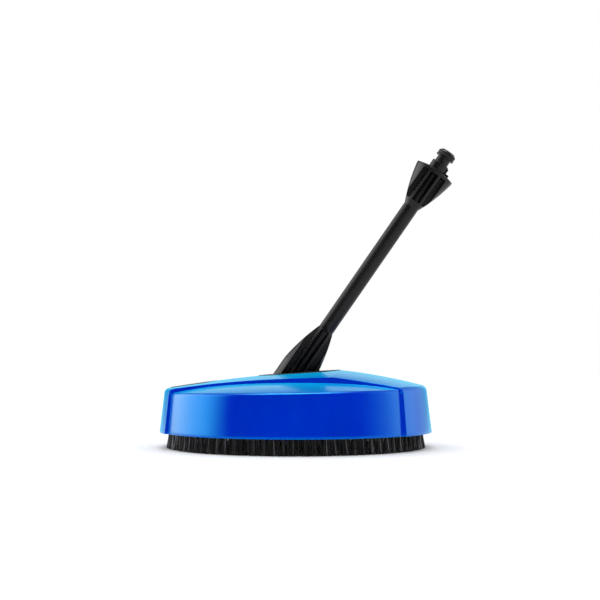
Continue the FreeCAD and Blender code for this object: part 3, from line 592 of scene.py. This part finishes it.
# %% [markdown]
# ## The bristles
# Some hundred and seventy tufts stand in two staggered rows in the brush ring. Each strand is a thin
# three-sided spike that leaves the ring upright and bends outwards on its way down. Hair particles would
# not export, so the strands are one mesh, worked out as one array of strands, rows, sides and coordinates.
# A shade for every strand is stored with the mesh, and it is painted light and shade. It is palest along one
# line of each tuft, a painted highlight on that side of the tuft, which makes the tufts read as separate
# bundles. It is dark in the inner row, as painted shadow from the outer row, and paler round the band's two
# ends than midway between them, as
# if lit from there: that part is painted light too.

# %% Bristles
chance = np.random.default_rng(331)
TUFTS, STRANDS = 84, 30                     # tufts in a row, and strands in a tuft
BRISTLE_TOP = 20.5
OUTER_ROW, INNER_ROW = 129.3, 127.9         # radii of the two rows
ROOT_REACH, TIP_REACH = 130.5, 134.1        # how far out a strand may stand at its root and at its tip
RING_MIDDLE = 131.0
LEVELS, SIDES = 5, 3                        # rows of points along a strand, and points round it
ROOT_HALF, TIP_HALF = 1.7, 4.6              # half a tuft's width at its root and at its tips
ROOT_THICK, TIP_THICK = 0.40, 0.20          # radius of a strand at its root and at its tip
# the pale line in each tuft is a painted highlight
HIGHLIGHT_AT, HIGHLIGHT_WIDE = 0.3, 0.18          # where a tuft's pale line lies, as a share of its half width
tuft_turn = np.concatenate([np.arange(TUFTS), np.arange(TUFTS) + 0.5]) * 2 * math.pi / TUFTS
tuft_turn = tuft_turn + chance.normal(0, 0.004, tuft_turn.shape)
tuft_radius = np.repeat([OUTER_ROW, INNER_ROW], TUFTS)
tuft_lean = chance.normal(0, 0.6, (2 * TUFTS, 1))
tuft_shade = chance.uniform(0, 1, (2 * TUFTS, 1))
spread = np.sqrt(chance.uniform(0, 1, (2 * TUFTS, STRANDS)))
bearing = chance.uniform(0, 2 * math.pi, (2 * TUFTS, STRANDS))
root_out = np.clip(spread * np.cos(bearing), -1, 1)
root_side = spread * np.sin(bearing)
tip_out = np.clip(1.5 + 2.1 * root_out + chance.normal(0, 0.45, spread.shape), -2.2, 4.4)
tip_side = TIP_HALF * root_side + tuft_lean + chance.normal(0, 0.7, spread.shape)
tip_height = np.abs(chance.normal(0, 0.35, spread.shape)) + 0.05

down = np.linspace(0, 1, LEVELS)
outward = tuft_radius[:, None, None] + mix(1.2 * root_out[..., None], tip_out[..., None], down ** 1.7)
outward = np.minimum(outward, mix(ROOT_REACH, TIP_REACH, down))
sidewise = mix(ROOT_HALF * root_side[..., None], tip_side[..., None], down ** 1.4)
height = mix(BRISTLE_TOP, tip_height[..., None], down)
thick = mix(ROOT_THICK, TIP_THICK, down)[None, None, :, None]
corner = np.arange(SIDES) * 2 * math.pi / SIDES
ring_out = outward[..., None] + thick * np.cos(corner)
ring_side = sidewise[..., None] + thick * np.sin(corner)
turn = tuft_turn[:, None, None, None] + ring_side / RING_MIDDLE
ring_height = np.broadcast_to(height[..., None], turn.shape)
strands = np.stack([ring_out * np.cos(turn), ring_out * np.sin(turn), ring_height], axis=-1)
strands = strands.reshape(-1, LEVELS * SIDES, 3)
start = (np.arange(len(strands)) * LEVELS * SIDES)[:, None, None]
sides = (grid_faces(LEVELS, SIDES, closed=True)[None] + start).reshape(-1, 4)
ends = (np.array([[12, 13, 14], [2, 1, 0]])[None] + start).reshape(-1, 3)

bristle_mesh = bpy.data.meshes.new("bristles")
bristle_mesh.from_pydata((strands.reshape(-1, 3) * MM).tolist(), [], sides.tolist() + ends.tolist())
# painted light and shade by row: the inner row is darkened as painted shadow, and tufts round the band's two
# ends are paler, as if lit from there
painted_row_light = np.repeat([[1.0], [0.1]], TUFTS, axis=0) * (0.3 + 0.7 * np.cos(tuft_turn[:, None]) ** 2)
# a painted highlight along one line of each tuft; a little random tone is added below
painted_highlight = np.exp(-((root_side - HIGHLIGHT_AT) / HIGHLIGHT_WIDE) ** 2) * painted_row_light * (0.35 + 0.65 * tuft_shade)
shade = np.clip(painted_highlight + 0.08 * chance.uniform(-1, 1, spread.shape), 0, 1)
strand_light_and_tone = bristle_mesh.attributes.new("strand_light_and_tone", "FLOAT", "POINT")
strand_light_and_tone.data.foreach_set("value", np.repeat(shade.ravel(), LEVELS * SIDES).astype(np.float32))
bristle_mesh.shade_smooth()
bristles = bpy.data.objects.new("bristles", bristle_mesh)
bpy.context.scene.collection.objects.link(bristles)
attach(bristles, "hood")
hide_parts("bristle_ring")
print("strands", len(strands), "faces", len(bristle_mesh.polygons), "outermost",
      round(float(ring_out.max()), 1), "mm")

# %% [markdown]
# ## Writing shader maths as Python
# A finish varies over the surface, and node maths gets long. One small class wraps a socket, so that a sum
# or product written in Python adds its Math node. A second one holds a material and adds any other node.

# %% Signals and finishes
class Signal:
    """An output socket that can be used in sums and products with numbers or signals."""

    def __init__(self, network, socket):
        self.network = network
        self.socket = socket

    def maths(self, operation, first, second):
        """A Math node on two signals or numbers."""
        return self.network.node("ShaderNodeMath", {"operation": operation}, {0: first, 1: second})

    def __add__(self, other):
        return self.maths("ADD", self, other)

    __radd__ = __add__

    def __mul__(self, other):
        return self.maths("MULTIPLY", self, other)

    __rmul__ = __mul__


class Network:
    """A node tree with one method that adds any node to it."""

    def __init__(self, tree):
        self.tree = tree

    def node(self, kind, settings, values, output=0):
        """Adds a node: its settings first, then numbers into its sockets or links to them."""
        node = self.tree.nodes.new(kind)
        for setting, value in settings.items():
            setattr(node, setting, value)
        for socket, value in values.items():
            if isinstance(value, Signal):
                self.tree.links.new(value.socket, node.inputs[socket])
            else:
                node.inputs[socket].default_value = value
        return Signal(self, node.outputs[output])

    def span(self, signal, low, high, new_low, new_high):
        """A signal's range low to high stretched smoothly over new_low to new_high."""
        values = {"Value": signal, "From Min": low, "From Max": high, "To Min": new_low, "To Max": new_high}
        return self.node("ShaderNodeMapRange", {"interpolation_type": "SMOOTHSTEP"}, values)


class Finish(Network):
    """A procedural material: its shader, its Object coordinates, and the patterns used on this object."""

    def __init__(self, name, **constants):
        self.material = bpy.data.materials.new(name)
        self.material.use_nodes = True
        super().__init__(self.material.node_tree)
        self.shader = self.tree.nodes["Principled BSDF"]
        self.place = self.node("ShaderNodeTexCoord", {}, {}, "Object")
        for socket, value in constants.items():
            self.shader.inputs[socket.replace("_", " ")].default_value = value

    def drive(self, socket, signal):
        """Links a signal to one of the shader's sockets."""
        self.tree.links.new(signal.socket, self.shader.inputs[socket])

    def noise(self, scale, detail=3.0, stretch=(1.0, 1.0, 1.0)):
        """Cloudy noise from 0 to 1 with scale lumps to the metre, stretched along the axes."""
        place = self.node("ShaderNodeMapping", {}, {"Vector": self.place, "Scale": stretch})
        return self.node("ShaderNodeTexNoise", {}, {"Vector": place, "Scale": scale, "Detail": detail})

    def blend(self, share, first, second):
        """A colour between two others."""
        settings = {"data_type": "RGBA"}
        return self.node("ShaderNodeMix", settings, {0: share, 6: first, 7: second}, 2)

    def bump(self, height, distance, strength=1.0):
        """Relief from a height signal, distance metres deep."""
        values = {"Height": height, "Distance": distance, "Strength": strength}
        self.drive("Normal", self.node("ShaderNodeBump", {}, values))


print("signal and finish helpers ready")

# %% [markdown]
# ## Blue moulded plastic
# The hood is pigmented polypropylene from a polished mould: deep blue, glossy, and very slightly uneven.
# Slow noise shifts the colour a little, finer noise varies the gloss, and a faint ripple stands for the
# flow of the plastic. The rest is a choice of look, not of physics: the index of refraction is above the
# plastic's own for a stronger shine, and the shine and a soft sheen are tinted cyan, so that pale
# reflections stay blue.

# %% Hood finish
def linear(red, green, blue):
    """A display colour of three numbers from 0 to 255 as the linear colour that a shader wants."""
    share = np.array([red, green, blue]) / 255
    light = np.where(share <= 0.04045, share / 12.92, ((share + 0.055) / 1.055) ** 2.4)
    return (*[float(value) for value in light], 1.0)


SHINE_TINT, SHEEN_TINT = (0.0, 0.92, 1.0, 1.0), (0.0, 0.76, 1.0, 1.0)
blue = Finish("hood_blue", IOR=2.0, Specular_Tint=SHINE_TINT, Sheen_Weight=1.0, Sheen_Roughness=0.32,
              Sheen_Tint=SHEEN_TINT)
clouds = blue.noise(14.0)
tone = blue.span(clouds, 0.3, 0.7, 0.0, 1.0)
blue.drive("Base Color", blue.blend(tone, linear(0, 0, 186), linear(0, 6, 196)))
smears = blue.noise(60.0, 4.0, (1.0, 1.0, 0.35))
blue.drive("Roughness", blue.span(smears, 0.3, 0.7, 0.21, 0.24))
blue.bump(blue.noise(700.0, 2.0), 0.000004, 0.3)
print("hood finish:", len(blue.tree.nodes), "nodes")

# %% [markdown]
# ## Black mouldings
# The lance, plate and inlay come from a spark-eroded mould, which leaves a fine matt grain. The grain is a
# small-scale bump, and slow noise shifts tone and gloss, because handling polishes such parts unevenly.

# %% Black finishes
def grained_plastic(name, dark, pale, rough, grain):
    """A textured moulding: grain lumps to the metre, slow patches of tone and gloss."""
    finish = Finish(name, IOR=1.36)
    patches = finish.noise(35.0)
    finish.drive("Base Color", finish.blend(finish.span(patches, 0.3, 0.7, 0.0, 1.0), dark, pale))
    finish.drive("Roughness", finish.span(patches, 0.3, 0.7, rough, rough + 0.08))
    finish.bump(finish.noise(grain, 2.0), 0.00001, 0.05)
    return finish


black = grained_plastic("black_moulding", linear(9, 9, 10), linear(15, 15, 16), 0.34, 1900.0)
satin = grained_plastic("nipple_black", linear(10, 10, 11), linear(17, 17, 18), 0.28, 2600.0)
housing = grained_plastic("housing_black", linear(36, 36, 39), linear(46, 46, 50), 0.46, 1500.0)
carrier = grained_plastic("carrier_black", linear(30, 30, 32), linear(40, 40, 43), 0.50, 1300.0)
print("black finishes:", ", ".join(finish.material.name for finish in (black, satin, housing, carrier)))

# %% [markdown]
# ## Bristle strands, rubber and cage plastic
# Each strand takes its tone from the painted highlight and shade stored with it. Strands are drawn nylon, so
# they shine along their length and look dusty at the tips, where they touch the ground.

# %% Strand, rubber and cage finishes
strand = Finish("bristle_nylon", IOR=1.53)
stored = strand.node("ShaderNodeAttribute", {"attribute_name": "strand_light_and_tone"}, {}, "Fac")
spot = strand.node("ShaderNodeSeparateXYZ", {}, {0: strand.place}, "Z")
dusty = strand.span(spot, 0.004, 0.0, 0.0, 0.35)
# the stored painted highlight and shade sets each strand's colour, from near black to pale grey
tone = strand.blend(stored, linear(3, 3, 4), linear(185, 185, 188))
strand.drive("Base Color", strand.blend(dusty, tone, linear(58, 56, 54)))
strand.drive("Roughness", strand.span(stored, 0.0, 1.0, 0.55, 0.30))

rubber = Finish("ring_rubber", IOR=1.5)
bloom = rubber.noise(400.0, 4.0)
bloom_share = rubber.span(bloom, 0.4, 0.75, 0.0, 1.0)
rubber.drive("Base Color", rubber.blend(bloom_share, linear(18, 18, 18), linear(42, 42, 42)))
rubber.drive("Roughness", rubber.span(bloom, 0.3, 0.7, 0.50, 0.66))
rubber.bump(rubber.noise(3000.0, 2.0), 0.00002, 0.3)

cage = Finish("cage_polyamide", IOR=1.53, Subsurface_Weight=0.1)
flow = cage.noise(250.0, 3.0, (1.0, 1.0, 4.0))
cage.drive("Base Color", cage.blend(flow, linear(214, 205, 176), linear(232, 226, 204)))
cage.drive("Roughness", cage.span(flow, 0.3, 0.7, 0.38, 0.50))
cage.bump(cage.noise(2500.0, 2.0), 0.00002, 0.3)
print("strand, rubber and cage finishes ready")

# %% [markdown]
# ## Metals
# Metals differ mostly in how they were worked. Turned parts have fine rings along their axis, drawn tube
# has lines along its length, and ground races are almost mirrors. Noise squeezed hard along one axis gives
# such lines, and it feeds both the gloss and a shallow bump.

# %% Metal finishes
def worked_metal(name, dark, pale, rough, stretch, depth):
    """Bare metal: tool marks from stretched noise in the gloss and relief, and slow patches of tone."""
    finish = Finish(name, Metallic=1.0)
    marks = finish.noise(120.0, 3.0, stretch)
    stain = finish.noise(90.0, 4.0)
    finish.drive("Base Color", finish.blend(finish.span(stain, 0.35, 0.7, 0.0, 1.0), pale, dark))
    finish.drive("Roughness", finish.span(marks, 0.3, 0.7, rough, rough + 0.14))
    finish.bump(marks, depth, 0.4)
    return finish


TURNED, DRAWN, GROUND, ROLLED = (2.0, 2.0, 40.0), (2.0, 40.0, 40.0), (2.0, 2.0, 60.0), (20.0, 20.0, 20.0)
steel = worked_metal("turned_steel", linear(176, 176, 178), linear(206, 206, 208), 0.22, TURNED, 0.00003)
arm_steel = worked_metal("drawn_tube", linear(178, 178, 180), linear(208, 208, 210), 0.26, DRAWN, 0.00003)
ground = worked_metal("ground_steel", linear(196, 196, 200), linear(220, 220, 224), 0.07, GROUND, 0.00001)
screw = worked_metal("screw_steel", linear(168, 168, 170), linear(200, 200, 202), 0.25, ROLLED, 0.00003)
brass = worked_metal("turned_brass", linear(176, 138, 66), linear(214, 178, 96), 0.20, TURNED, 0.00003)
print("metal finishes ready")

# %% [markdown]
# ## Handing out the finishes
# The imported record says which material slot each CAD node belongs to, and a list below gives the new pieces
# theirs. One table of slots gives every surface its finish.

# %% Assign finishes
FINISHES = {
    "hood": blue, "black_plastic": black, "nipple_plastic": satin, "housing_plastic": housing,
    "carrier_plastic": carrier, "bristle": strand, "cage": cage, "seal_rubber": rubber, "steel": steel,
    "arm_steel": arm_steel, "bearing_steel": ground, "screw_steel": screw, "brass": brass,
}


def coat(thing, slot):
    """Gives all of an object's faces one slot's finish."""
    thing.data.materials.clear()
    thing.data.materials.append(FINISHES[slot].material)


for row in frame["record"]["subparts"]:
    coat(frame["nodes"][row["node"]], row["material_slot"])
new_pieces = {hood: "hood", inside: "hood", plate: "black_plastic", inlay: "black_plastic",
              lance: "black_plastic", nipple: "nipple_plastic", bristles: "bristle"}
for piece, slot in new_pieces.items():
    coat(piece, slot)

# %% [markdown]
# ## Floor and light
# A product shot uses large soft lamps that show up as broad gradients in a glossy surface. One stands at the
# left, one at the right and slightly behind, a low one behind, and one overhead. They are glows in the
# surroundings that only shiny rays see. Everything else sees even white, so the side that faces the viewer
# stays deep blue in front of a white background.

# %% Floor, lamps and surroundings
HALF_FLOOR = 6
floor_mesh = bpy.data.meshes.new("floor")
floor_corners = [(-HALF_FLOOR, -HALF_FLOOR, 0), (HALF_FLOOR, -HALF_FLOOR, 0), (HALF_FLOOR, HALF_FLOOR, 0),
                 (-HALF_FLOOR, HALF_FLOOR, 0)]
floor_mesh.from_pydata(floor_corners, [], [(0, 1, 2, 3)])
floor = bpy.data.objects.new("floor", floor_mesh)
bpy.context.scene.collection.objects.link(floor)
paper = Finish("floor_paper", Roughness=0.9)
paper.shader.inputs["Specular IOR Level"].default_value = 0.1
paper.drive("Base Color", paper.blend(paper.noise(3.0), (0.90, 0.90, 0.90, 1), (0.92, 0.92, 0.92, 1)))
floor_mesh.materials.append(paper.material)

soft_box = bpy.data.lights.new("overhead_softbox", "AREA")
soft_box.shape = "RECTANGLE"
soft_box.size, soft_box.size_y, soft_box.energy = 1.6, 1.2, 6.0
overhead = bpy.data.objects.new("overhead_softbox", soft_box)
bpy.context.scene.collection.objects.link(overhead)
overhead.location = (-0.3, 0.2, 1.6)
overhead.rotation_euler = (-overhead.location).to_track_quat("-Z", "Y").to_euler()

world = bpy.data.worlds.new("surroundings")
bpy.context.scene.world = world
world.use_nodes = True
world.cycles.sampling_method = "NONE"
studio = Network(world.node_tree)
towards = studio.node("ShaderNodeTexCoord", {}, {}, "Generated")


def glow(turn, rise, start, full, strength):
    """A soft glow in the surroundings, turn degrees round from the front towards +X and rise degrees up:
    it grows smoothly as the cosine of the angle from its middle goes from start to full."""
    turn, rise = math.radians(turn), math.radians(rise)
    middle = (math.cos(rise) * math.sin(turn), -math.cos(rise) * math.cos(turn), math.sin(rise))
    nearness = studio.node("ShaderNodeVectorMath", {"operation": "DOT_PRODUCT"}, {0: towards, 1: middle}, 1)
    return studio.span(nearness, start, full, 0.0, strength)


mirrored = (glow(-96, 14, 0.70, 0.97, 3.1) + glow(120, 14, 0.60, 0.98, 0.85) + glow(116, 14, 0.92, 0.99, 0.7)
            + glow(186, 6, 0.92, 0.99, 1.1) + glow(0, 85, 0.84, 0.98, 6.0))
seen = studio.node("ShaderNodeLightPath", {}, {}, "Is Camera Ray")
diffuse = studio.node("ShaderNodeLightPath", {}, {}, "Is Diffuse Ray")
glossy = studio.node("ShaderNodeLightPath", {}, {}, "Is Glossy Ray")
FILL = 1.12                                 # how strongly the white surroundings light matt surfaces
strength = seen + diffuse * FILL + glossy * mirrored
studio.tree.links.new(strength.socket, studio.tree.nodes["Background"].inputs["Strength"])
studio.tree.nodes["Background"].inputs["Color"].default_value = (1, 1, 1, 1)
bpy.context.scene.view_settings.view_transform = "Standard"
print("stage ready")
